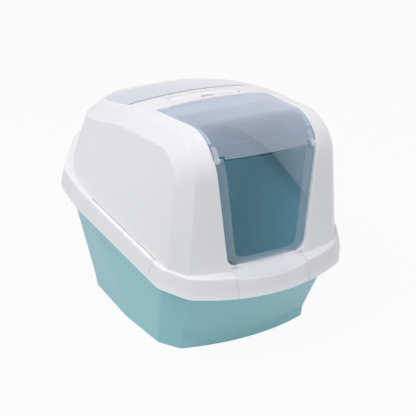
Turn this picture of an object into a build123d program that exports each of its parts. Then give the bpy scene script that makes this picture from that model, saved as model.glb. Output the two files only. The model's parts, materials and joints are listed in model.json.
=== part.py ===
"""Covered litter box: a tub, a hood on its sloping rim, smoke-tinted lids, a flap door and side latches."""

import os
from math import asin, cos, degrees, radians, sin, tan

from build123d import *

# Rim: the sloping joint between tub and hood, in plan
box_width = 495
box_length = 624
rim_tilt = 14
rim_mid_height = 219
rim_front_half = 172
rim_front_set = 38
rim_cheek_half = 211
rim_cheek_set = 88
rim_waist_y = 60
rim_rear_half = 246
rim_rear_y = 145
rim_tail_half = 165
rim_tail_set = 50
rim_cheek_round = 38
rim_waist_round = 300
rim_rear_round = 70
rim_tail_round = 90

# Skirt of the hood
skin_wall = 3
skirt_height = 39
skirt_lean = 8
skirt_round = 5
ledge_width = 10
rim_gap = 1.5

# Tub
tray_wall = 3.2
tray_drop = 11
plinth_height = 22
plinth_draft = 3
foot_nose = 217
foot_front_half = 146
foot_front_y = 192
foot_cheek_half = 173
foot_cheek_y = 146
foot_waist_half = 179
foot_waist_y = -10
foot_rear_half = 167
foot_rear_y = 165
foot_tail_half = 118
foot_tail_y = 228
foot_tail = 244
foot_cheek_round = 14
foot_waist_round = 300
foot_rear_round = 55
foot_tail_round = 55
flange_lift = 3.5
flange_thick = 3

# Hood form
hood_front = 281
front_bow = 9
front_bow_half = 108
front_round = 80
roof_front_z = 465
roof_ridge_y = -25
roof_ridge_z = 462
roof_rear_y = 330
roof_rear_z = 413
roof_ridge_round = 400
roof_crown = 7
roof_crown_half = 124
skin_low_z = 120
skin_span = 230
plan_front_y = 340
plan_foot_rear_y = 287
plan_foot_round = 225
plan_top_z = 490
plan_top_half = 168
plan_top_rear_y = 150
plan_top_round = 60
shoulder_chamfer = 26
foot_sink = 2

# Front opening, visor and door
lid_wall = 2.6
lid_gap = 0.8
rebate_width = 9
rebate_thick = 2.5
opening_back_half = 124.5
opening_front_half = 112
opening_low_half = 87
opening_low_z = 197
opening_corner = 24
visor_low_z = 412
bridge_front_y = -62
visor_axis_y = -74
visor_edge_set = 2
visor_ear = 15
visor_rib_z = 434
visor_rib = 1.4
hinge_barrel = 3.4
hinge_pin = 1.7
hinge_play = 0.3
boss_radius = 4.5
boss_length = 11
trough_wall = 2.5
trough_depth = 6
reveal_depth = 15
reveal_wall = 2.5
door_recess = 8
door_wall = 2.4
door_gap = 2.5
door_top_drop = 4
door_axis_z = 408
door_band = 26
door_band_thick = 0.8
door_barrel = 4.6
door_barrel_length = 7
door_pin = 2.4
pivot_knob = 5.4
pivot_length = 10.5
pivot_tab_height = 24
pivot_tab_thick = 3

# Rear compartment and its lid
bridge_rear_y = 14.5
rear_axis_y = 28
rear_front_half = 142.5
rear_back_half = 146
rear_back_y = 152
rear_corner = 40
rear_ear = 15
compartment_floor_z = 405
compartment_wall = 2.5
vent_length = 64
vent_width = 4
vent_pitch = 12
vent_count = 5

# Filter
filter_width = 120
filter_depth = 84
filter_thick = 8
filter_y = 90
grille_wall = 3
grille_floor = 2.5
grille_slot_width = 5
grille_slot_pitch = 11
grille_slot_count = 9
clip_width = 24
clip_thick = 2.5
clip_reach = 5

# Carry handle
handle_half = 74
handle_front_y = -50
handle_axis_y = -14
handle_thick = 5
handle_barrel = 4
handle_gap = 1
handle_pocket_z = 438
handle_pocket_wall = 2.5
handle_corner = 9
finger_half = 16
finger_depth = 11
pin_grip = 12

# Side latches
latch_front_y = -190
latch_back_y = 28
latch_gap = 0.6
latch_pin = 1.5
latch_pin_grip = 9
latch_boss_length = 10
latch_wall_gap = 0.9
hook_half = 60
hook_reach = 5.5
hook_thick = 1.6

# Front sill
sill_half = 80
sill_seam = 0.5
sill_back_y = -258
sill_scoop = 5
sill_pad = 12
sill_lip_y = -304
sill_lip_z = 176
sill_crest_y = -268
sill_crest_gap = 1.5

# Length of the blocks that cut right through the hood
reach = 400

os.makedirs("parts", exist_ok=True)

slope = cos(radians(rim_tilt))
half_width = box_width / 2
half_length = box_length / 2
cheek_y = half_length - rim_cheek_set
splay = (half_width - rim_cheek_half) / (rim_waist_y + cheek_y)
tray_height = skirt_height - tray_drop
ledge_inset = skirt_lean + ledge_width
tray_inset = skirt_lean + skin_wall + rim_gap


def rim_plane(height):
    """Plane parallel to the rim, a given height above the skirt's lower edge."""
    normal = (0, -sin(radians(rim_tilt)), slope)
    return Plane(origin=(0, 0, rim_mid_height + height), x_dir=(1, 0, 0), z_dir=normal)


def rim_outline(height, inset):
    """Outline of the rim on its own slope, drawn in by an inset."""
    with BuildSketch(rim_plane(height)) as drawn:
        front_y = (half_length - rim_front_set) / slope
        side_y = cheek_y / slope
        waist_y = rim_waist_y / slope
        rear_y = rim_rear_y / slope
        tail_y = (half_length - rim_tail_set) / slope
        with BuildLine():
            nose = ThreePointArc(
                (-rim_front_half, -front_y), (0, -half_length / slope), (rim_front_half, -front_y)
            )
            right = Polyline(
                nose @ 1,
                (rim_cheek_half, -side_y),
                (half_width, waist_y),
                (rim_rear_half, rear_y),
                (rim_tail_half, tail_y),
            )
            tail = ThreePointArc(right @ 1, (0, half_length / slope), (-rim_tail_half, tail_y))
            Polyline(
                tail @ 1,
                (-rim_rear_half, rear_y),
                (-half_width, waist_y),
                (-rim_cheek_half, -side_y),
                nose @ 0,
            )
        make_face()
        fillet(drawn.vertices().sort_by(Axis.Y)[:4], rim_cheek_round)
        fillet(drawn.vertices().sort_by(Axis.Y)[-2:], rim_tail_round)
        fillet(drawn.vertices().filter_by_position(Axis.Y, rear_y - 1, rear_y + 1), rim_rear_round)
        fillet(drawn.vertices().filter_by_position(Axis.Y, waist_y - 1, waist_y + 1), rim_waist_round)
        if inset:
            offset(amount=-inset, mode=Mode.REPLACE)
    return drawn.sketch


def foot_outline(height, inset):
    """Outline of the tub's foot on a level plane."""
    with BuildSketch(Plane.XY.offset(height)) as drawn:
        with BuildLine():
            nose = ThreePointArc(
                (-foot_front_half, -foot_front_y), (0, -foot_nose), (foot_front_half, -foot_front_y)
            )
            right = Polyline(
                nose @ 1,
                (foot_cheek_half, -foot_cheek_y),
                (foot_waist_half, foot_waist_y),
                (foot_rear_half, foot_rear_y),
                (foot_tail_half, foot_tail_y),
            )
            tail = ThreePointArc(right @ 1, (0, foot_tail), (-foot_tail_half, foot_tail_y))
            Polyline(
                tail @ 1,
                (-foot_rear_half, foot_rear_y),
                (-foot_waist_half, foot_waist_y),
                (-foot_cheek_half, -foot_cheek_y),
                nose @ 0,
            )
        make_face()
        fillet(drawn.vertices().sort_by(Axis.Y)[:4], foot_cheek_round)
        fillet(drawn.vertices().sort_by(Axis.Y)[-2:], foot_tail_round)
        rear = drawn.vertices().filter_by_position(Axis.Y, foot_rear_y - 1, foot_rear_y + 1)
        fillet(rear, foot_rear_round)
        waist = drawn.vertices().filter_by_position(Axis.Y, foot_waist_y - 1, foot_waist_y + 1)
        fillet(waist, foot_waist_round)
        if inset:
            offset(amount=-inset, mode=Mode.REPLACE)
    return drawn.sketch


def side_section(x, inset):
    """Side profile of front and roof at one station across the hood."""
    drop = roof_crown * (x / roof_crown_half) ** 2 + inset
    set_back = front_bow * (x / front_bow_half) ** 2 + inset
    with BuildSketch(Plane.YZ.offset(x)) as drawn:
        with BuildLine():
            Polyline(
                (set_back - hood_front, skin_low_z),
                (set_back - hood_front, roof_front_z - drop),
                (roof_ridge_y, roof_ridge_z - drop),
                (roof_rear_y, roof_rear_z - drop),
                (roof_rear_y, skin_low_z),
                close=True,
            )
        make_face()
        fillet(drawn.vertices().sort_by(Axis.Y)[-1:], front_round - inset)
        ridge = drawn.vertices().filter_by_position(Axis.X, roof_ridge_y - 1, roof_ridge_y + 1)
        fillet(ridge, roof_ridge_round - inset)
    return drawn.sketch


def skin(inset):
    """Block under the crowned roof and the bowed front."""
    with BuildPart() as block:
        stations = (-skin_span, 0, skin_span)
        loft(sections=[side_section(x, inset) for x in stations])
    return block.part


def plan_foot(inset):
    """Outline of the hood's walls where they meet the ledge."""
    shift = ledge_inset + inset
    front_half = rim_cheek_half + (cheek_y - plan_front_y) * splay - shift
    rear_half = rim_cheek_half + (cheek_y + plan_foot_rear_y) * splay - shift
    rear_y = plan_foot_rear_y / slope - inset
    with BuildSketch(rim_plane(skirt_height - foot_sink)) as drawn:
        with BuildLine():
            Polyline(
                (-front_half, -plan_front_y / slope),
                (front_half, -plan_front_y / slope),
                (rear_half, rear_y),
                (-rear_half, rear_y),
                close=True,
            )
        make_face()
        fillet(drawn.vertices().group_by(Axis.Y)[-1], plan_foot_round - inset)
    return drawn.sketch


def plan_top(inset):
    """Outline that the hood's walls lean in to, above the roof."""
    half = plan_top_half - inset
    rear_y = plan_top_rear_y - inset
    with BuildSketch(Plane.XY.offset(plan_top_z)) as drawn:
        with BuildLine():
            Polyline(
                (-half, -plan_front_y), (half, -plan_front_y), (half, rear_y), (-half, rear_y), close=True
            )
        make_face()
        fillet(drawn.vertices().group_by(Axis.Y)[-1], plan_top_round - inset)
    return drawn.sketch


def is_shoulder(edge):
    """True for the edges between the hood's walls and its roof and front."""
    middle = edge.center()
    ledge_z = rim_mid_height + skirt_height + middle.Y * tan(radians(rim_tilt))
    rear_seam = middle.Y > 0 and edge.bounding_box().size.Z > shoulder_chamfer * 2
    return edge.length < plan_front_y and middle.Z > ledge_z + shoulder_chamfer and not rear_seam


def hood_form(inset):
    """Hood block with a chamfer band between walls, roof and front."""
    with BuildPart() as form:
        add(skin(inset))
        with BuildPart(mode=Mode.INTERSECT):
            loft(sections=[plan_foot(inset), plan_top(inset)], ruled=True)
        chamfer(form.edges().filter_by(is_shoulder), shoulder_chamfer - inset * (2 - 2**0.5))
    return form.part


def skirt_form(low, high, inset):
    """Block inside the skirt's leaning face."""
    with BuildPart() as block:
        lean_low = skirt_lean * low / skirt_height
        lean_high = skirt_lean * high / skirt_height
        loft(
            sections=[rim_outline(low, lean_low + inset), rim_outline(high, lean_high + inset)], ruled=True
        )
    return block.part


def visor_plan(margin, back_y):
    """Front opening seen from above, grown by a margin."""
    run = plan_front_y + bridge_front_y
    taper = (opening_back_half - opening_front_half) / (bridge_front_y + hood_front)
    back_half = opening_back_half + (back_y - bridge_front_y) * taper + margin
    front_half = opening_back_half - run * taper + margin
    with BuildSketch(Plane.XY.offset(visor_low_z)) as drawn:
        with BuildLine():
            Polyline(
                (-back_half, back_y),
                (back_half, back_y),
                (front_half, -plan_front_y),
                (-front_half, -plan_front_y),
                close=True,
            )
        make_face()
    return drawn.sketch


def door_front(margin, low_z, top_z, corner):
    """Doorway seen from the front, grown by a margin, with rounded lower corners."""
    taper = (opening_front_half - opening_low_half) / (visor_low_z - opening_low_z)
    low_half = opening_low_half + (low_z - opening_low_z) * taper + margin
    top_half = opening_low_half + (top_z - opening_low_z) * taper + margin
    with BuildSketch(Plane.XZ.offset(hood_front - reveal_depth * 3)) as drawn:
        with BuildLine():
            Polyline(
                (-low_half, low_z), (low_half, low_z), (top_half, top_z), (-top_half, top_z), close=True
            )
        make_face()
        fillet(drawn.vertices().group_by(Axis.Y)[0], corner)
    return drawn.sketch


def rear_plan(margin, front_y, lift):
    """Rear roof opening seen from above, grown by a margin, lifted off the compartment floor."""
    front_half = rear_front_half + margin
    back_half = rear_back_half + margin
    with BuildSketch(Plane.XY.offset(compartment_floor_z + lift)) as drawn:
        with BuildLine():
            Polyline(
                (-front_half, front_y),
                (front_half, front_y),
                (back_half, rear_back_y + margin),
                (-back_half, rear_back_y + margin),
                close=True,
            )
        make_face()
        fillet(drawn.vertices().group_by(Axis.Y)[-1], rear_corner + margin)
    return drawn.sketch


def roof_z(x, y):
    """Height of the roof's outer face between the front rounding and the rear."""
    if y < roof_ridge_y:
        fall = (roof_front_z - roof_ridge_z) / (hood_front + roof_ridge_y)
    else:
        fall = (roof_ridge_z - roof_rear_z) / (roof_rear_y - roof_ridge_y)
    return roof_ridge_z - (y - roof_ridge_y) * fall - roof_crown * (x / roof_crown_half) ** 2


visor_axis_z = roof_z(opening_back_half, visor_axis_y) - hinge_barrel - hinge_play
rear_axis_z = roof_z(rear_front_half, rear_axis_y) - hinge_barrel - hinge_play
handle_axis_z = roof_z(handle_half, handle_axis_y) - handle_barrel - hinge_play
door_axis_y = (
    front_bow * (opening_front_half / front_bow_half) ** 2 - hood_front + door_recess + door_wall / 2
)

# Local frames of the two latches, on the rim's side edges
latch_mid_y = (latch_front_y + latch_back_y) / 2
latch_mid_x = rim_cheek_half + (latch_mid_y + cheek_y) * splay
latch_mid_z = rim_mid_height + latch_mid_y * tan(radians(rim_tilt))
latch_run = (latch_back_y - latch_front_y) / slope
latch_length = (latch_run**2 + ((latch_back_y - latch_front_y) * splay) ** 2) ** 0.5
rim_normal = (0, -sin(radians(rim_tilt)), slope)
right_side = Plane(
    origin=(latch_mid_x, latch_mid_y, latch_mid_z),
    x_dir=(splay, 1, tan(radians(rim_tilt))),
    z_dir=rim_normal,
)
left_side = Plane(
    origin=(-latch_mid_x, latch_mid_y, latch_mid_z),
    x_dir=(splay, -1, -tan(radians(rim_tilt))),
    z_dir=rim_normal,
)
latch_axis_in = ledge_inset - hinge_barrel - latch_wall_gap
latch_axis_up = skirt_height * slope - hinge_barrel

# Handle pocket and the stations of the door's pivots
pocket_half = handle_half + handle_gap
pocket_front_y = handle_front_y - handle_gap
handle_sweep = roof_z(0, handle_axis_y) - handle_axis_z
pocket_back_y = handle_axis_y + handle_sweep + handle_gap
knob_out = opening_front_half - door_gap / 2
knob_in = knob_out - pivot_length
door_barrel_out = knob_in - hinge_play
door_barrel_in = door_barrel_out - door_barrel_length
visor_ear_out = opening_back_half - lid_gap * 2
visor_ear_in = visor_ear_out - visor_ear
rear_ear_out = rear_front_half - lid_gap * 2
rear_ear_in = rear_ear_out - rear_ear


def latch_bar(side, radius, start, stop):
    """Round bar along a latch's hinge axis."""
    end = Plane(origin=side.from_local_coords((start, latch_axis_in, latch_axis_up)), z_dir=side.x_dir)
    with BuildPart() as bar:
        with BuildSketch(end):
            Circle(radius)
        extrude(amount=stop - start)
    return bar.part


def cross_bar(radius, start, stop, y, z):
    """Pair of round bars along the hood's width, mirrored left and right."""
    with BuildPart() as bar:
        with BuildSketch(Plane.YZ.offset(start)):
            with Locations((y, z)):
                Circle(radius)
        extrude(amount=stop - start)
        mirror(about=Plane.YZ)
    return bar.part


def roof_box(half, front_y, back_y, low_z):
    """Upright block across the hood, from a low face to above the roof."""
    with BuildPart() as block:
        with BuildSketch(Plane.XY.offset(low_z)):
            with Locations((0, front_y)):
                Rectangle(half * 2, back_y - front_y, align=(Align.CENTER, Align.MIN))
        extrude(amount=reach)
    return block.part


def latch_block(side, half, depth):
    """Block along the rim's side, from outside the skirt in to a given depth."""
    with BuildPart() as block:
        with BuildSketch(side.offset(-skirt_height / 2)):
            with Locations((0, depth)):
                Rectangle(half * 2, depth * 2, align=(Align.CENTER, Align.MAX))
        extrude(amount=skirt_height * 2)
    return block.part


def latch_pin_bars(side):
    """Two hinge pins of one latch."""
    near = latch_length / 2 - latch_pin_grip
    far = latch_length / 2 + latch_pin_grip
    with BuildPart() as bars:
        add(latch_bar(side, latch_pin, near, far))
        add(latch_bar(side, latch_pin, -far, -near))
    return bars.part


def is_rim_face(face):
    """True for flat faces parallel to the rim."""
    return face.geom_type == GeomType.PLANE and abs(face.normal_at().dot(Vector(rim_normal))) > slope


visor_pin_bars = cross_bar(
    hinge_pin, visor_ear_out - pin_grip, opening_back_half + boss_length, visor_axis_y, visor_axis_z
)
rear_pin_bars = cross_bar(
    hinge_pin, rear_ear_out - pin_grip, rear_front_half + boss_length, rear_axis_y, rear_axis_z
)
handle_pin_bars = cross_bar(
    hinge_pin, handle_half - pin_grip, pocket_half + boss_length, handle_axis_y, handle_axis_z
)

# Tub: plinth, leaning walls, flange under the skirt
with BuildPart() as tray:
    loft(sections=[foot_outline(0, plinth_draft), foot_outline(plinth_height, 0)], ruled=True)
    loft(sections=[foot_outline(plinth_height, 0), rim_outline(tray_height, tray_inset)], ruled=True)
    extrude(rim_outline(flange_lift, skin_wall + rim_gap * 2), amount=flange_thick)
    with BuildPart(mode=Mode.SUBTRACT):
        loft(
            sections=[
                foot_outline(tray_wall, tray_wall + plinth_draft),
                foot_outline(plinth_height, tray_wall),
            ],
            ruled=True,
        )
        loft(
            sections=[
                foot_outline(plinth_height, tray_wall),
                rim_outline(tray_height, tray_inset + tray_wall),
            ],
            ruled=True,
        )

# Skirt and ledge, before the latches and the sill are cut out of it
with BuildPart() as skirt:
    add(skirt_form(0, skirt_height, 0))
    fillet(skirt.faces().filter_by(is_rim_face).sort_by(Axis.Z)[-1].edges(), skirt_round)
    add(skirt_form(0, skirt_height - skin_wall, skin_wall), mode=Mode.SUBTRACT)

# Hood: shell, skirt, frame of the front opening, roof compartment and pockets
with BuildPart() as hood:
    add(skirt.part)
    with BuildPart(mode=Mode.SUBTRACT):
        extrude(plan_foot(skin_wall), amount=-skirt_height)
        add(skin(skin_wall), mode=Mode.INTERSECT)
        add(skirt_form(0, skirt_height, skin_wall), mode=Mode.INTERSECT)
    add(hood_form(0))
    add(hood_form(skin_wall), mode=Mode.SUBTRACT)
    # Ring that stands on the tub's upper edge
    with BuildPart():
        extrude(rim_outline(tray_height, tray_inset), amount=tray_drop * slope - skin_wall / 2)
        extrude(rim_outline(tray_height, tray_inset + tray_wall), amount=tray_drop, mode=Mode.SUBTRACT)
    # Opening for visor and door
    extrude(visor_plan(0, bridge_front_y), amount=reach, mode=Mode.SUBTRACT)
    extrude(door_front(0, opening_low_z, visor_low_z, opening_corner), amount=reach, mode=Mode.SUBTRACT)
    # Rebate under the visor's sides
    with BuildPart():
        add(skin(skin_wall))
        add(skin(skin_wall + rebate_thick), mode=Mode.SUBTRACT)
        extrude(visor_plan(rebate_width, visor_axis_y - boss_length), amount=reach, mode=Mode.INTERSECT)
        extrude(visor_plan(-rebate_width, bridge_front_y), amount=reach, mode=Mode.SUBTRACT)
        with BuildSketch(Plane.XZ.offset(hood_front - front_round)):
            with Locations((0, visor_low_z)):
                Rectangle(box_width, pivot_tab_height * 2)
        extrude(amount=reach, mode=Mode.SUBTRACT)
    # Jamb that lines the doorway
    with BuildPart():
        add(skin(0))
        add(skin(reveal_depth), mode=Mode.SUBTRACT)
        extrude(
            door_front(reveal_wall, opening_low_z - reveal_wall, visor_low_z, opening_corner + reveal_wall),
            amount=reach,
            mode=Mode.INTERSECT,
        )
        extrude(door_front(0, opening_low_z, visor_low_z, opening_corner), amount=reach, mode=Mode.SUBTRACT)
    # Trough in front of the roof bridge, where the visor's edge turns
    with BuildPart():
        trough_z = visor_axis_z - trough_depth
        trough_half = opening_back_half + trough_wall
        trough_back_y = bridge_front_y + trough_wall
        add(roof_box(trough_half, visor_axis_y - boss_length, trough_back_y, trough_z - trough_wall))
        add(skin(0), mode=Mode.INTERSECT)
        add(roof_box(opening_back_half, -reach, bridge_front_y, trough_z), mode=Mode.SUBTRACT)
    # Rear compartment with a rebate for its lid
    with BuildPart():
        front_y = bridge_rear_y - compartment_wall
        extrude(rear_plan(compartment_wall, front_y, -compartment_wall), amount=reach)
        add(skin(0), mode=Mode.INTERSECT)
    extrude(rear_plan(0, bridge_rear_y, 0), amount=reach, mode=Mode.SUBTRACT)
    with BuildPart():
        add(skin(skin_wall))
        add(skin(skin_wall + rebate_thick), mode=Mode.SUBTRACT)
        extrude(rear_plan(compartment_wall, rear_axis_y + boss_length, 0), amount=reach, mode=Mode.INTERSECT)
        extrude(rear_plan(-rebate_width, bridge_rear_y, 0), amount=reach, mode=Mode.SUBTRACT)
    # Pocket under the carry handle
    with BuildPart():
        low_z = handle_pocket_z - handle_pocket_wall
        front_y = pocket_front_y - handle_pocket_wall
        back_y = pocket_back_y + handle_pocket_wall
        add(roof_box(pocket_half + handle_pocket_wall, front_y, back_y, low_z))
        add(skin(0), mode=Mode.INTERSECT)
    add(roof_box(pocket_half, pocket_front_y, pocket_back_y, handle_pocket_z), mode=Mode.SUBTRACT)
    # Pin bosses of visor, rear panel and handle
    with BuildPart():
        visor_boss_out = opening_back_half + boss_length
        rear_boss_out = rear_front_half + boss_length
        handle_boss_out = pocket_half + boss_length
        add(cross_bar(boss_radius, opening_back_half, visor_boss_out, visor_axis_y, visor_axis_z))
        add(cross_bar(boss_radius, rear_front_half, rear_boss_out, rear_axis_y, rear_axis_z))
        add(cross_bar(boss_radius, pocket_half, handle_boss_out, handle_axis_y, handle_axis_z))
        add(skin(0), mode=Mode.INTERSECT)
    add(visor_pin_bars, mode=Mode.SUBTRACT)
    add(rear_pin_bars, mode=Mode.SUBTRACT)
    add(handle_pin_bars, mode=Mode.SUBTRACT)
    # Seats of the latches and their pin bosses
    latch_boss = hinge_barrel - hinge_play
    latch_end = latch_length / 2
    latch_boss_end = latch_end + latch_boss_length
    for side in (left_side, right_side):
        add(latch_block(side, latch_end, ledge_inset), mode=Mode.SUBTRACT)
        add(latch_bar(side, latch_boss, latch_end, latch_boss_end))
        add(latch_bar(side, latch_boss, -latch_boss_end, -latch_end))
    add(latch_pin_bars(left_side), mode=Mode.SUBTRACT)
    add(latch_pin_bars(right_side), mode=Mode.SUBTRACT)
    # Seat of the front sill
    with BuildSketch(Plane.XZ.offset(-sill_back_y)):
        with Locations((0, opening_low_z)):
            Rectangle(sill_half * 2, opening_low_z, align=(Align.CENTER, Align.MAX))
    extrude(amount=reach, mode=Mode.SUBTRACT)
    # Vent slots in the compartment floor
    with BuildSketch(Plane.XY.offset(compartment_floor_z)):
        with Locations((0, filter_y)):
            with GridLocations(0, vent_pitch, 1, vent_count):
                SlotOverall(vent_length, vent_width)
    extrude(amount=-compartment_wall, mode=Mode.SUBTRACT)

# Visor: curved lid over the upper front
with BuildPart() as visor:
    add(skin(0))
    add(skin(lid_wall), mode=Mode.SUBTRACT)
    with BuildPart(mode=Mode.INTERSECT):
        extrude(visor_plan(-lid_gap, visor_axis_y - visor_edge_set), amount=reach)
        for sign in (-1, 1):
            with BuildSketch(Plane.XY.offset(visor_low_z)):
                with Locations((sign * (visor_ear_in + visor_ear / 2), visor_axis_y)):
                    Rectangle(visor_ear, visor_ear, align=(Align.CENTER, Align.MAX))
            extrude(amount=reach)
    add(cross_bar(hinge_barrel, visor_ear_in, visor_ear_out, visor_axis_y, visor_axis_z))
    add(
        cross_bar(hinge_pin + hinge_play, visor_ear_in, visor_ear_out, visor_axis_y, visor_axis_z),
        mode=Mode.SUBTRACT,
    )
    # Stiffening rib across the inside
    with BuildPart():
        add(skin(lid_wall))
        add(skin(lid_wall + visor_rib), mode=Mode.SUBTRACT)
        with BuildSketch(Plane.XY.offset(visor_rib_z)):
            with Locations((0, -hood_front)):
                Rectangle(knob_in * 2, front_round, align=(Align.CENTER, Align.MIN))
        extrude(amount=visor_rib, mode=Mode.INTERSECT)
    # Notches that show the pivot knobs
    with BuildSketch(Plane.XZ.offset(hood_front - front_round)):
        for sign in (-1, 1):
            with Locations((sign * (door_barrel_in - door_gap + reach / 2), visor_low_z)):
                Rectangle(reach, pivot_knob * 2)
    extrude(amount=reach, mode=Mode.SUBTRACT)

# Flap door with thicker side bands and two hinge barrels
door_top_z = door_axis_z - door_top_drop
door_low_z = opening_low_z + door_gap
with BuildPart() as swing_door:
    add(skin(door_recess))
    add(skin(door_recess + door_wall), mode=Mode.SUBTRACT)
    with BuildPart(mode=Mode.INTERSECT):
        extrude(door_front(-door_gap, door_low_z, door_top_z, opening_corner), amount=reach)
        with BuildSketch(Plane.XZ.offset(hood_front - reveal_depth * 3)):
            for sign in (-1, 1):
                with Locations((sign * (door_barrel_in + door_barrel_length / 2), door_axis_z)):
                    Rectangle(door_barrel_length, door_barrel * 3, align=(Align.CENTER, Align.MAX))
        extrude(amount=reach)
    with BuildPart():
        add(skin(door_recess + door_wall))
        add(skin(door_recess + door_wall + door_band_thick), mode=Mode.SUBTRACT)
        extrude(
            door_front(-door_gap, door_low_z, door_top_z, opening_corner), amount=reach, mode=Mode.INTERSECT
        )
        extrude(
            door_front(-door_gap - door_band, door_low_z + door_gap, door_axis_z, opening_corner),
            amount=reach,
            mode=Mode.SUBTRACT,
        )
    add(cross_bar(door_barrel, door_barrel_in, door_barrel_out, door_axis_y, door_axis_z))
    add(
        cross_bar(door_pin + hinge_play, door_barrel_in, door_barrel_out, door_axis_y, door_axis_z),
        mode=Mode.SUBTRACT,
    )
    # Corners cut back round the pivot knobs
    with BuildSketch(Plane.XZ.offset(hood_front - reveal_depth * 3)):
        for sign in (-1, 1):
            with Locations((sign * (door_barrel_out + reach / 2), door_axis_z)):
                Rectangle(reach, (pivot_knob + door_gap) * 2)
    extrude(amount=reach, mode=Mode.SUBTRACT)

# Pivot clips: a knob and pin for the door, a tab on the visor's inner face
with BuildPart() as door_pivot_right:
    with BuildSketch(Plane.YZ.offset(knob_in)):
        with Locations((door_axis_y, door_axis_z)):
            Circle(pivot_knob)
    extrude(amount=pivot_length)
    with BuildSketch(Plane.YZ.offset(knob_in)):
        with Locations((door_axis_y, door_axis_z)):
            Circle(door_pin)
    extrude(amount=-door_barrel_length - hinge_play)
    with BuildPart():
        add(skin(lid_wall))
        add(skin(lid_wall + pivot_tab_thick), mode=Mode.SUBTRACT)
        with BuildSketch(Plane.XZ.offset(hood_front - front_round)):
            with Locations((knob_in, door_axis_z)):
                Rectangle(pivot_length - lid_gap * 2, pivot_tab_height, align=(Align.MIN, Align.MIN))
        extrude(amount=reach, mode=Mode.INTERSECT)
with BuildPart() as door_pivot_left:
    add(mirror(door_pivot_right.part, about=Plane.YZ, mode=Mode.PRIVATE))

# Lid of the rear compartment
with BuildPart() as rear_panel:
    add(skin(0))
    add(skin(lid_wall), mode=Mode.SUBTRACT)
    with BuildPart(mode=Mode.INTERSECT):
        extrude(rear_plan(-lid_gap, rear_axis_y + visor_edge_set, 0), amount=reach)
        for sign in (-1, 1):
            with BuildSketch(Plane.XY.offset(compartment_floor_z)):
                with Locations((sign * (rear_ear_in + rear_ear / 2), rear_axis_y)):
                    Rectangle(rear_ear, rear_ear, align=(Align.CENTER, Align.MIN))
            extrude(amount=reach)
    add(cross_bar(hinge_barrel, rear_ear_in, rear_ear_out, rear_axis_y, rear_axis_z))
    add(
        cross_bar(hinge_pin + hinge_play, rear_ear_in, rear_ear_out, rear_axis_y, rear_axis_z),
        mode=Mode.SUBTRACT,
    )

# Hinge pins, pressed into the hood
with BuildPart() as visor_pins:
    add(visor_pin_bars)
with BuildPart() as rear_panel_pins:
    add(rear_pin_bars)
with BuildPart() as handle_pins:
    add(handle_pin_bars)
with BuildPart() as latch_pins_left:
    add(latch_pin_bars(left_side))
with BuildPart() as latch_pins_right:
    add(latch_pin_bars(right_side))

# Folding carry handle, flush with the roof
with BuildPart() as carry_handle:
    add(skin(0))
    add(skin(handle_thick), mode=Mode.SUBTRACT)
    with BuildSketch(Plane.XY.offset(handle_pocket_z)) as grip:
        with Locations((0, handle_front_y)):
            Rectangle(handle_half * 2, handle_axis_y - handle_front_y, align=(Align.CENTER, Align.MIN))
        fillet(grip.vertices().group_by(Axis.Y)[0], handle_corner)
        with Locations((0, handle_front_y)):
            SlotOverall(finger_half * 2, finger_depth * 2, mode=Mode.SUBTRACT)
    extrude(amount=reach, mode=Mode.INTERSECT)
    with BuildSketch(Plane.YZ.offset(-handle_half)):
        with Locations((handle_axis_y, handle_axis_z)):
            Circle(handle_barrel)
    extrude(amount=handle_half * 2)
    add(
        cross_bar(hinge_pin + hinge_play, handle_half - pin_grip, handle_half, handle_axis_y, handle_axis_z),
        mode=Mode.SUBTRACT,
    )


def latch_form(side):
    """Length of skirt on a hinge barrel, with a hook under the tub's flange."""
    with BuildPart() as latch:
        add(skirt.part)
        add(latch_block(side, latch_length / 2 - latch_gap, latch_axis_in), mode=Mode.INTERSECT)
        add(latch_bar(side, hinge_barrel, latch_gap - latch_length / 2, latch_length / 2 - latch_gap))
        with BuildSketch(side):
            with Locations((0, skin_wall / 2)):
                Rectangle(hook_half * 2, skin_wall / 2 + hook_reach, align=(Align.CENTER, Align.MIN))
        extrude(amount=hook_thick)
        for start in (latch_gap - latch_length / 2, latch_length / 2 - latch_pin_grip - hinge_play):
            stop = start + latch_pin_grip
            add(latch_bar(side, latch_pin + hinge_play, start, stop), mode=Mode.SUBTRACT)
    return latch.part


with BuildPart() as latch_left:
    add(latch_form(left_side))
with BuildPart() as latch_right:
    add(latch_form(right_side))

# Front sill: a dished step under the door, standing on the tub's edge
scoop_radius = (sill_half**2 + sill_scoop**2) / (2 * sill_scoop)
scoop_axis = Axis((0, 0, sill_lip_z + scoop_radius), (0, 1, 0))
scoop_turn = degrees((sill_half + sill_pad) / scoop_radius)
sill_crest_z = opening_low_z - sill_crest_gap
dish_run = sill_crest_y - sill_lip_y
dish_rise = sill_crest_z - sill_lip_z
dish_radius = (dish_run**2 + dish_rise**2) / (2 * dish_rise)
dish_middle = Vector(sill_lip_y, sill_lip_z + dish_radius)


def dish_block(depth):
    """Space above the dish, or above the same curve sunk by a depth."""
    low_z = sill_lip_z - depth
    radius = dish_radius + depth
    turn = asin(dish_run / dish_radius)
    half_turn = turn / 2
    crest = (dish_middle.X + radius * sin(turn), dish_middle.Y - radius * cos(turn))
    halfway = (dish_middle.X + radius * sin(half_turn), dish_middle.Y - radius * cos(half_turn))
    with BuildPart() as block:
        with BuildSketch(Plane.YZ):
            with BuildLine():
                ThreePointArc((sill_lip_y, low_z), halfway, crest)
                Polyline(
                    crest,
                    (sill_back_y, crest[1]),
                    (sill_back_y, visor_low_z),
                    (-plan_front_y, visor_low_z),
                    (-plan_front_y, low_z),
                    (sill_lip_y, low_z),
                )
            make_face()
        revolve(axis=scoop_axis, revolution_arc=scoop_turn)
        mirror(about=Plane.YZ)
    return block.part


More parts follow.
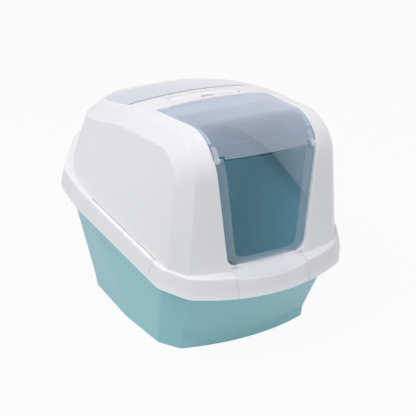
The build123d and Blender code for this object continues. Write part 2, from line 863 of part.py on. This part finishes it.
with BuildPart() as front_sill:
    add(skirt_form(0, skirt_height * 2, 0))
    add(skirt_form(0, skirt_height * 2, skin_wall), mode=Mode.SUBTRACT)
    with BuildPart():
        add(skirt_form(0, skirt_height * 2, 0))
        add(dish_block(skin_wall), mode=Mode.INTERSECT)
    add(dish_block(0), mode=Mode.SUBTRACT)
    with BuildSketch(Plane.XZ.offset(-sill_back_y)):
        Rectangle((sill_half - sill_seam) * 2, opening_low_z, align=(Align.CENTER, Align.MIN))
    extrude(amount=reach, mode=Mode.INTERSECT)
    # Pads on the tub's edge
    with BuildPart():
        extrude(rim_outline(tray_height, tray_inset), amount=tray_drop)
        extrude(rim_outline(tray_height, tray_inset + tray_wall), amount=tray_drop, mode=Mode.SUBTRACT)
        with BuildSketch(Plane.XZ.offset(-sill_back_y)):
            for sign in (-1, 1):
                with Locations((sign * (sill_half - sill_pad), 0)):
                    Rectangle(sill_pad, reach, align=(Align.CENTER, Align.MIN))
        extrude(amount=reach, mode=Mode.INTERSECT)
        add(dish_block(skin_wall / 2), mode=Mode.SUBTRACT)

# Odour filter under the compartment: grille, pad and two clips
filter_low_z = compartment_floor_z - compartment_wall - filter_thick
grille_grow = grille_wall * 2 + rim_gap
with BuildPart() as carbon_filter:
    with BuildSketch(Plane.XY.offset(filter_low_z)):
        with Locations((0, filter_y)):
            RectangleRounded(filter_width, filter_depth, grille_wall)
    extrude(amount=filter_thick)
with BuildPart() as filter_grille:
    with BuildSketch(Plane.XY.offset(filter_low_z - grille_floor)):
        with Locations((0, filter_y)):
            RectangleRounded(filter_width + grille_grow, filter_depth + grille_grow, grille_wall * 2)
    extrude(amount=grille_floor + filter_thick)
    with BuildSketch(Plane.XY.offset(filter_low_z)):
        with Locations((0, filter_y)):
            RectangleRounded(filter_width + rim_gap, filter_depth + rim_gap, grille_wall)
    extrude(amount=filter_thick, mode=Mode.SUBTRACT)
    with BuildSketch(Plane.XY.offset(filter_low_z)):
        with Locations((0, filter_y)):
            with GridLocations(grille_slot_pitch, 0, grille_slot_count, 1):
                SlotOverall(filter_depth - grille_slot_pitch, grille_slot_width, rotation=90)
    extrude(amount=-grille_floor, mode=Mode.SUBTRACT)
with BuildPart() as filter_clips:
    clip_x = filter_width / 2 + grille_wall + rim_gap / 2
    with BuildSketch(Plane.XZ.offset(-filter_y - clip_width / 2)):
        with BuildLine():
            low_z = filter_low_z - grille_floor
            top_z = compartment_floor_z - compartment_wall
            Polyline(
                (clip_x, top_z),
                (clip_x + clip_thick, top_z),
                (clip_x + clip_thick, low_z - clip_thick),
                (clip_x - clip_reach, low_z - clip_thick),
                (clip_x - clip_reach, low_z),
                (clip_x, low_z),
                close=True,
            )
        make_face()
    extrude(amount=clip_width)
    mirror(about=Plane.YZ)

pieces = {
    "tray": tray,
    "hood": hood,
    "front_sill": front_sill,
    "visor": visor,
    "visor_pins": visor_pins,
    "swing_door": swing_door,
    "door_pivot_left": door_pivot_left,
    "door_pivot_right": door_pivot_right,
    "rear_panel": rear_panel,
    "rear_panel_pins": rear_panel_pins,
    "carry_handle": carry_handle,
    "handle_pins": handle_pins,
    "latch_left": latch_left,
    "latch_right": latch_right,
    "latch_pins_left": latch_pins_left,
    "latch_pins_right": latch_pins_right,
    "filter_grille": filter_grille,
    "carbon_filter": carbon_filter,
    "filter_clips": filter_clips,
}
for name, piece in pieces.items():
    piece.part.label = name
    export_step(piece.part, f"parts/{name}.step")
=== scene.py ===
import json
import math

import bmesh
import bpy
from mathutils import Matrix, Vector

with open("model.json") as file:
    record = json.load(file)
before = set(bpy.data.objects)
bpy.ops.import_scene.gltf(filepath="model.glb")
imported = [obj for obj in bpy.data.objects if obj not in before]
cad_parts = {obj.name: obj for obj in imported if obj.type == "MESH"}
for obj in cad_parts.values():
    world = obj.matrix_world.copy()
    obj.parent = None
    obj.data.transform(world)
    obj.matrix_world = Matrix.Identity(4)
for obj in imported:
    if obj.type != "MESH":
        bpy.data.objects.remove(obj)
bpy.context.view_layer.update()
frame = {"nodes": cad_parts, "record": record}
nodes = frame["nodes"]
scene = bpy.context.scene
print("frame loaded:", len(nodes), "nodes")


def toLinear(hexColour):
    channels = [int(hexColour[i:i + 2], 16) / 255 for i in (1, 3, 5)]
    linear = [c / 12.92 if c <= 0.04045 else ((c + 0.055) / 1.055) ** 2.4 for c in channels]
    return (*linear, 1.0)


def perMetre(millimetres):
    return 1000 / millimetres  # texture scale for a feature of this size


def addNode(tree, kind, inputs=None, **settings):
    node = tree.nodes.new(kind)
    for name, value in settings.items():
        setattr(node, name, value)
    for name, value in (inputs or {}).items():
        if isinstance(value, bpy.types.NodeSocket):
            tree.links.new(value, node.inputs[name])
        else:
            node.inputs[name].default_value = value
    return node


def newMaterial(name):
    material = bpy.data.materials.new(name)
    material.use_nodes = True
    tree = material.node_tree
    tree.nodes.clear()
    return material, tree


# Polypropylene, injection moulded in a spark-eroded tool: satin, with a fine even grain,
# a very faint cloudiness where the melt flowed, and a little light coming through the wall
def satinPolypropylene(name, look):
    material, tree = newMaterial(name)
    place = addNode(tree, "ShaderNodeTexCoord").outputs["Object"]
    cloud = addNode(tree, "ShaderNodeTexNoise", {
        "Vector": place, "Scale": perMetre(look["cloudMm"]), "Detail": 2.0, "Roughness": 0.5})
    tint = addNode(tree, "ShaderNodeValToRGB", {"Fac": cloud.outputs["Fac"]})
    tint.color_ramp.elements[0].color = toLinear(look["shade"])
    tint.color_ramp.elements[1].color = toLinear(look["colour"])
    grain = addNode(tree, "ShaderNodeTexNoise", {
        "Vector": place, "Scale": perMetre(look["grainMm"]), "Detail": 2.0, "Roughness": 0.6})
    gloss = addNode(tree, "ShaderNodeMapRange", {
        "Value": grain.outputs["Fac"], "To Min": look["roughLow"], "To Max": look["roughHigh"]})
    bump = addNode(tree, "ShaderNodeBump", {
        "Height": grain.outputs["Fac"], "Strength": look["grainStrength"],
        "Distance": look["grainDepthMm"] / 1000})
    shader = addNode(tree, "ShaderNodeBsdfPrincipled", {
        "Base Color": tint.outputs["Color"], "Roughness": gloss.outputs["Result"],
        "Normal": bump.outputs["Normal"], "IOR": 1.49,
        "Subsurface Weight": look["through"], "Subsurface Radius": (1.0, 1.0, 1.0),
        "Subsurface Scale": look["throughMm"] / 1000})
    addNode(tree, "ShaderNodeOutputMaterial", {"Surface": shader.outputs[0]})
    return material


# 1 on the thickened border of the flap door and 0 inside it, with rounded lower corners
def borderMask(tree, place, border):
    axes = addNode(tree, "ShaderNodeSeparateXYZ", {"Vector": place}).outputs
    half = addNode(tree, "ShaderNodeMath", {
        0: axes["Z"], 1: border["taper"], 2: border["lowHalf"] - border["lowZ"] * border["taper"]},
        operation="MULTIPLY_ADD")
    across = addNode(tree, "ShaderNodeMath", {0: axes["X"]}, operation="ABSOLUTE")
    fromSide = addNode(tree, "ShaderNodeMath", {
        0: half.outputs[0], 1: across.outputs[0]}, operation="SUBTRACT")
    lowScale = border["width"] / border["lowWidth"]  # the border is narrower along the lower edge
    fromLow = addNode(tree, "ShaderNodeMath", {
        0: axes["Z"], 1: lowScale, 2: -border["lowZ"] * lowScale}, operation="MULTIPLY_ADD")
    inside = addNode(tree, "ShaderNodeMath", {
        0: fromSide.outputs[0], 1: fromLow.outputs[0], 2: border["corner"]},
        operation="SMOOTH_MIN")
    mask = addNode(tree, "ShaderNodeMapRange", {
        "Value": inside.outputs[0], "From Min": border["width"] - border["soft"],
        "From Max": border["width"] + border["soft"], "To Min": 1.0, "To Max": 0.0},
        interpolation_type="SMOOTHSTEP")
    return mask.outputs["Result"]


# Tinted polystyrene from a polished tool: a smoke blue sheet that is seen through,
# a thin milky haze in it, and a clear gloss that grows towards the edges
def smokePolystyrene(name, look):
    material, tree = newMaterial(name)
    place = addNode(tree, "ShaderNodeTexCoord").outputs["Object"]
    flow = addNode(tree, "ShaderNodeTexNoise", {
        "Vector": place, "Scale": perMetre(look["flowMm"]), "Detail": 2.0})
    tint = addNode(tree, "ShaderNodeValToRGB", {"Fac": flow.outputs["Fac"]})
    tint.color_ramp.elements[0].color = toLinear(look["deep"])
    tint.color_ramp.elements[1].color = toLinear(look["colour"])
    film = addNode(tree, "ShaderNodeBsdfTransparent", {"Color": tint.outputs["Color"]})
    speck = addNode(tree, "ShaderNodeTexNoise", {
        "Vector": place, "Scale": perMetre(look["hazeMm"]), "Detail": 1.0}).outputs["Fac"]
    gloss = addNode(tree, "ShaderNodeMapRange", {
        "Value": speck, "To Min": look["roughLow"], "To Max": look["roughHigh"]})
    body = addNode(tree, "ShaderNodeBsdfPrincipled", {
        "Base Color": toLinear(look["milk"]), "Roughness": gloss.outputs["Result"], "IOR": 1.59})
    hazeSpread = 0.03  # the haze varies by this share of itself
    haze = addNode(tree, "ShaderNodeMapRange", {
        "Value": speck, "To Min": look["haze"] * (1 - hazeSpread),
        "To Max": look["haze"] * (1 + hazeSpread)}).outputs["Result"]
    if "border" in look:
        border = borderMask(tree, place, look["border"])
        haze = addNode(tree, "ShaderNodeMath", {
            0: border, 1: look["border"]["haze"], 2: haze}, operation="MULTIPLY_ADD").outputs[0]
    # Along a slant there is more haze to look through, and near the edge the gloss takes over
    facing = addNode(tree, "ShaderNodeLayerWeight", {"Blend": 0.5}).outputs["Facing"]
    glancePower = 5.0
    glance = addNode(tree, "ShaderNodeMath", {0: facing, 1: glancePower}, operation="POWER")
    slant = addNode(tree, "ShaderNodeMath", {
        0: facing, 1: look["slant"], 2: 1.0}, operation="MULTIPLY_ADD")
    share = addNode(tree, "ShaderNodeMath", {
        0: haze, 1: slant.outputs[0], 2: glance.outputs[0]},
        operation="MULTIPLY_ADD", use_clamp=True)
    # Milky plastic scatters light onwards, so light on its way through passes the haze
    rays = addNode(tree, "ShaderNodeLightPath").outputs
    onward = addNode(tree, "ShaderNodeMath", {
        0: rays["Is Shadow Ray"], 1: rays["Is Diffuse Ray"]}, operation="MAXIMUM")
    seen = addNode(tree, "ShaderNodeMath", {0: 1.0, 1: onward.outputs[0]}, operation="SUBTRACT")
    share = addNode(tree, "ShaderNodeMath", {
        0: share.outputs[0], 1: seen.outputs[0]}, operation="MULTIPLY")
    if "border" in look:  # the thick border keeps light out of the gap beside it
        shade = addNode(tree, "ShaderNodeMath", {
            0: border, 1: look["border"]["shade"]}, operation="MULTIPLY")
        share = addNode(tree, "ShaderNodeMath", {
            0: onward.outputs[0], 1: shade.outputs[0], 2: share.outputs[0]},
            operation="MULTIPLY_ADD")
    mixed = addNode(tree, "ShaderNodeMixShader", {
        0: share.outputs[0], 1: film.outputs[0], 2: body.outputs[0]})
    addNode(tree, "ShaderNodeOutputMaterial", {"Surface": mixed.outputs[0]})
    return material


# Polyurethane foam with open cells, loaded with carbon: matt cell walls, and painted shade in the
# pits
def carbonFoam(name, look):
    material, tree = newMaterial(name)
    place = addNode(tree, "ShaderNodeTexCoord").outputs["Object"]
    cells = addNode(tree, "ShaderNodeTexVoronoi", {
        "Vector": place, "Scale": perMetre(look["cellMm"])})
    # The ramp paints the pits darker than the walls: painted shade in the hollows of the cells
    tint = addNode(tree, "ShaderNodeValToRGB", {"Fac": cells.outputs["Distance"]})
    tint.color_ramp.elements[0].color = toLinear(look["pitShade"])
    tint.color_ramp.elements[1].color = toLinear(look["wall"])
    bump = addNode(tree, "ShaderNodeBump", {
        "Height": cells.outputs["Distance"], "Strength": look["pitStrength"],
        "Distance": look["pitDepthMm"] / 1000})
    shader = addNode(tree, "ShaderNodeBsdfPrincipled", {
        "Base Color": tint.outputs["Color"], "Roughness": 0.95, "Normal": bump.outputs["Normal"]})
    addNode(tree, "ShaderNodeOutputMaterial", {"Surface": shader.outputs[0]})
    return material


# Hood and tub. Grain is drawn coarser than the real 0.1 mm, so that it shows from a step away
whiteLook = {
    "colour": "#f4f3f8", "shade": "#f2f1f6", "cloudMm": 120,
    "grainMm": 0.9, "grainDepthMm": 0.3, "grainStrength": 0.08,
    "roughLow": 0.36, "roughHigh": 0.46, "through": 0.6, "throughMm": 10}
whitePlastic = satinPolypropylene("polypropylene_moulded_white", whiteLook)
tealLook = {
    "colour": "#9fd4dc", "shade": "#9cd2da", "cloudMm": 120,
    "grainMm": 0.9, "grainDepthMm": 0.3, "grainStrength": 0.08,
    "roughLow": 0.38, "roughHigh": 0.5, "through": 0.6, "throughMm": 10}
tealPlastic = satinPolypropylene("polypropylene_moulded_teal", tealLook)

# A sheet is looked through by way of both its faces, so each face has half the tint
visorLook = {
    "colour": "#ebf1f6", "deep": "#e8eff4", "flowMm": 90, "milk": "#c6ccde",
    "haze": 0.22, "slant": 1.2, "hazeMm": 60, "roughLow": 0.09, "roughHigh": 0.11}
visorPlastic = smokePolystyrene("polystyrene_polished_smoke_visor", visorLook)
# Border in metres: half width and height of the door's foot, lean of its sides, then the band
doorLook = {
    "colour": "#e7f5fb", "deep": "#e4f3fa", "flowMm": 90, "milk": "#b6c6d3",
    "haze": 0.075, "slant": 0.0, "hazeMm": 60, "roughLow": 0.09, "roughHigh": 0.11,
    "border": {
        "lowHalf": 0.0845, "lowZ": 0.1995, "taper": 0.1163, "width": 0.019, "lowWidth": 0.011,
        "soft": 0.0015, "corner": 0.03, "haze": 0.25, "shade": 0.65}}
doorPlastic = smokePolystyrene("polystyrene_polished_smoke_door", doorLook)
rearLook = {
    "colour": "#f5f7fa", "deep": "#f3f5f9", "flowMm": 90, "milk": "#dddde7",
    "haze": 0.35, "slant": 0.0, "hazeMm": 60, "roughLow": 0.15, "roughHigh": 0.16}
rearPlastic = smokePolystyrene("polystyrene_polished_smoke_rear", rearLook)
# Polycarbonate of the pivot clips: nearly clear, with a whitish haze
pivotLook = {
    "colour": "#f9fafb", "deep": "#f4f6f8", "flowMm": 20, "milk": "#f0f2f5",
    "haze": 0.4, "slant": 0.0, "hazeMm": 2, "roughLow": 0.12, "roughHigh": 0.2}
pivotPlastic = smokePolystyrene("polycarbonate_moulded_clear", pivotLook)
# The pit colour is painted shade; the wall colour is the foam's own dark colour
foamLook = {
    "pitShade": "#0b0b0c", "wall": "#2b2b2d", "cellMm": 2.2, "pitDepthMm": 0.8, "pitStrength": 0.6}
filterFoam = carbonFoam("polyurethane_foamed_carbon", foamLook)

slotMaterials = {
    "white_plastic": whitePlastic, "teal_plastic": tealPlastic, "smoke_plastic": visorPlastic,
    "clear_plastic": pivotPlastic, "carbon_foam": filterFoam}
nodeMaterials = {"swing_door": doorPlastic, "rear_panel": rearPlastic}
for part in frame["record"]["subparts"]:
    mesh = nodes[part["node"]].data
    mesh.materials.clear()
    mesh.materials.append(nodeMaterials.get(part["node"], slotMaterials[part["material_slot"]]))
print("materials assigned")


# 1 for what is looked at, straight, mirrored or through glass, and 0 for light on its way about
def seenByCamera(tree):
    rays = addNode(tree, "ShaderNodeLightPath").outputs
    mirrored = addNode(tree, "ShaderNodeMath", {
        0: rays["Is Camera Ray"], 1: rays["Is Glossy Ray"]}, operation="MAXIMUM")
    seen = addNode(tree, "ShaderNodeMath", {
        0: mirrored.outputs[0], 1: rays["Is Transmission Ray"]}, operation="MAXIMUM")
    return seen.outputs[0]


# Floor of matt backdrop paper: pale and even, with a faint fibre. The veil turns what the camera
# sees of it to white, apart from a share that keeps the shadow
floorLook = {"halfWidth": 30.0, "paper": "#d6d6d8", "fibre": "#d2d2d5", "fibreMm": 4, "veil": 0.93}
floorMesh = bpy.data.meshes.new("studio_floor")
floorShape = bmesh.new()
bmesh.ops.create_grid(floorShape, x_segments=1, y_segments=1, size=floorLook["halfWidth"])
floorShape.to_mesh(floorMesh)
floorShape.free()
floor = bpy.data.objects.new("studio_floor", floorMesh)
scene.collection.objects.link(floor)
floorPaper, tree = newMaterial("paper_backdrop_matt")
veil = addNode(tree, "ShaderNodeMath", {
    0: seenByCamera(tree), 1: floorLook["veil"]}, operation="MULTIPLY")
place = addNode(tree, "ShaderNodeTexCoord").outputs["Object"]
fibre = addNode(tree, "ShaderNodeTexNoise", {
    "Vector": place, "Scale": perMetre(floorLook["fibreMm"])})
tint = addNode(tree, "ShaderNodeValToRGB", {"Fac": fibre.outputs["Fac"]})
tint.color_ramp.elements[0].color = toLinear(floorLook["fibre"])
tint.color_ramp.elements[1].color = toLinear(floorLook["paper"])
paper = addNode(tree, "ShaderNodeBsdfPrincipled", {
    "Base Color": tint.outputs["Color"], "Roughness": 0.9})
glow = addNode(tree, "ShaderNodeEmission", {"Color": (1.0, 1.0, 1.0, 1.0), "Strength": 1.0})
mixed = addNode(tree, "ShaderNodeMixShader", {
    0: veil.outputs[0], 1: paper.outputs[0], 2: glow.outputs[0]})
addNode(tree, "ShaderNodeOutputMaterial", {"Surface": mixed.outputs[0]})
floorMesh.materials.append(floorPaper)

# World: even light from all round, seen about as white as the floor
worldLook = {"light": 0.55, "seen": 0.967, "colour": "#ffffff"}
world = bpy.data.worlds.new("studio_world")
scene.world = world
world.use_nodes = True
tree = world.node_tree
tree.nodes.clear()
strength = addNode(tree, "ShaderNodeMapRange", {
    "Value": seenByCamera(tree), "To Min": worldLook["light"], "To Max": worldLook["seen"]})
sky = addNode(tree, "ShaderNodeBackground", {
    "Color": toLinear(worldLook["colour"]), "Strength": strength.outputs["Result"]})
addNode(tree, "ShaderNodeOutputWorld", {"Surface": sky.outputs[0]})

# Soft lamps: the key from the upper left, a weak fill from the front right
lampAim = Vector((0, 0, 0.2))
lamps = [
    {"name": "key_softbox", "place": (-1.35, -0.55, 2.35), "size": 1.8, "power": 35},
    {"name": "fill_softbox", "place": (1.2, -2.4, 1.6), "size": 2.0, "power": 10},
]
for lamp in lamps:
    lampData = bpy.data.lights.new(lamp["name"], "AREA")
    lampData.size = lamp["size"]
    lampData.energy = lamp["power"]
    light = bpy.data.objects.new(lamp["name"], lampData)
    light.location = lamp["place"]
    light.rotation_euler = (lampAim - Vector(lamp["place"])).to_track_quat("-Z", "Y").to_euler()
    scene.collection.objects.link(light)
print("floor, world and lamps set")

# Camera at the photograph's angle, in degrees, metres and the photograph's pixels
shot = {
    "azimuth": -30.0, "elevation": 22.2, "distance": 2.366, "height": 0.204, "shift": 0.0244,
    "focalPixels": 1123.6, "framePixels": 416, "sensorMm": 36.0}
azimuth = math.radians(shot["azimuth"])
elevation = math.radians(shot["elevation"])
sideways = Vector((math.cos(azimuth), math.sin(azimuth), 0))
aim = Vector((0, 0, shot["height"])) + sideways * shot["shift"]
level = math.cos(elevation)
away = Vector((math.sin(azimuth) * level, -math.cos(azimuth) * level, math.sin(elevation)))
cameraData = bpy.data.cameras.new("photo_camera")
cameraData.sensor_width = shot["sensorMm"]
cameraData.lens = shot["focalPixels"] / shot["framePixels"] * shot["sensorMm"]
camera = bpy.data.objects.new("photo_camera", cameraData)
camera.location = aim + away * shot["distance"]
camera.rotation_euler = (-away).to_track_quat("-Z", "Y").to_euler()
scene.collection.objects.link(camera)
scene.camera = camera
scene.view_settings.view_transform = "Standard"
print("camera set")
